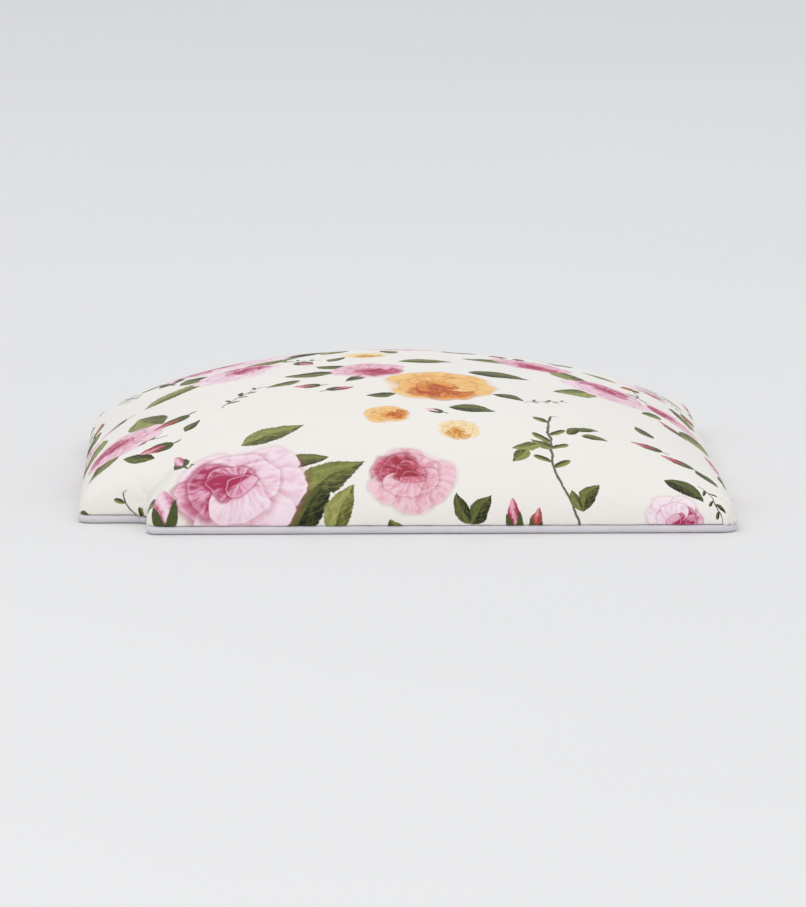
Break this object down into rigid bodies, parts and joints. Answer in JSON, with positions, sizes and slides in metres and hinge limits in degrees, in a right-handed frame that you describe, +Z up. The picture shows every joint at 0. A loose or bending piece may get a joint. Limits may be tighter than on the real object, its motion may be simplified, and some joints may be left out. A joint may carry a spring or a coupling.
{
  "type": "chair seat pad",
  "caption": "Domed upholstered seat pad for a dining chair, with a floral cover, a welt round its base and notches for the back posts.",
  "frame": {"origin": "middle of the pad's underside, at the middle of its bounding box", "axes": "+X across the seat to the sitter's left, -Y to the front edge, +Z up"},
  "size_m": [0.4498, 0.3998, 0.076],
  "materials": {
    "print_cloth": "matt woven cotton, cream with a watercolour rose print",
    "welt_cloth": "matt plain weave, off-white, cut on the bias",
    "cotton_cord": "twisted cotton",
    "foam": "open-cell polyurethane foam",
    "wadding": "fluffy polyester wadding",
    "plywood": "unfinished birch plywood",
    "cambric": "matt black non-woven cloth",
    "zinc_steel": "zinc plated"
  },
  "bodies": {
    "root": {"base_board": "plywood", "batting_wrap": "wadding", "cover_staple_back_1": "zinc_steel", "cover_staple_back_2": "zinc_steel", "cover_staple_back_3": "zinc_steel", "cover_staple_back_4": "zinc_steel", "cover_staple_front_1": "zinc_steel", "cover_staple_front_2": "zinc_steel", "cover_staple_front_3": "zinc_steel", "cover_staple_front_4": "zinc_steel", "cover_staple_front_5": "zinc_steel", "cover_staple_left_1": "zinc_steel", "cover_staple_left_2": "zinc_steel", "cover_staple_left_3": "zinc_steel", "cover_staple_left_4": "zinc_steel", "cover_staple_notch_left_a_1": "zinc_steel", "cover_staple_notch_left_b_1": "zinc_steel", "cover_staple_notch_right_a_1": "zinc_steel", "cover_staple_notch_right_b_1": "zinc_steel", "cover_staple_right_1": "zinc_steel", "cover_staple_right_2": "zinc_steel", "cover_staple_right_3": "zinc_steel", "cover_staple_right_4": "zinc_steel", "crown_booster": "foam", "dust_cover": "cambric", "dust_staple_back_1": "zinc_steel", "dust_staple_back_2": "zinc_steel", "dust_staple_back_3": "zinc_steel", "dust_staple_front_1": "zinc_steel", "dust_staple_front_2": "zinc_steel", "dust_staple_front_3": "zinc_steel", "dust_staple_front_4": "zinc_steel", "dust_staple_left_1": "zinc_steel", "dust_staple_left_2": "zinc_steel", "dust_staple_left_3": "zinc_steel", "dust_staple_notch_left_a_1": "zinc_steel", "dust_staple_notch_left_b_1": "zinc_steel", "dust_staple_notch_right_a_1": "zinc_steel", "dust_staple_notch_right_b_1": "zinc_steel", "dust_staple_right_1": "zinc_steel", "dust_staple_right_2": "zinc_steel", "dust_staple_right_3": "zinc_steel", "main_foam": "foam", "seat_cover": "print_cloth", "tee_nut_front_left": "zinc_steel", "tee_nut_front_right": "zinc_steel", "tee_nut_rear_left": "zinc_steel", "tee_nut_rear_right": "zinc_steel", "welt_cord": "cotton_cord", "welt_cover": "welt_cloth"}
  },
  "joints": []
}
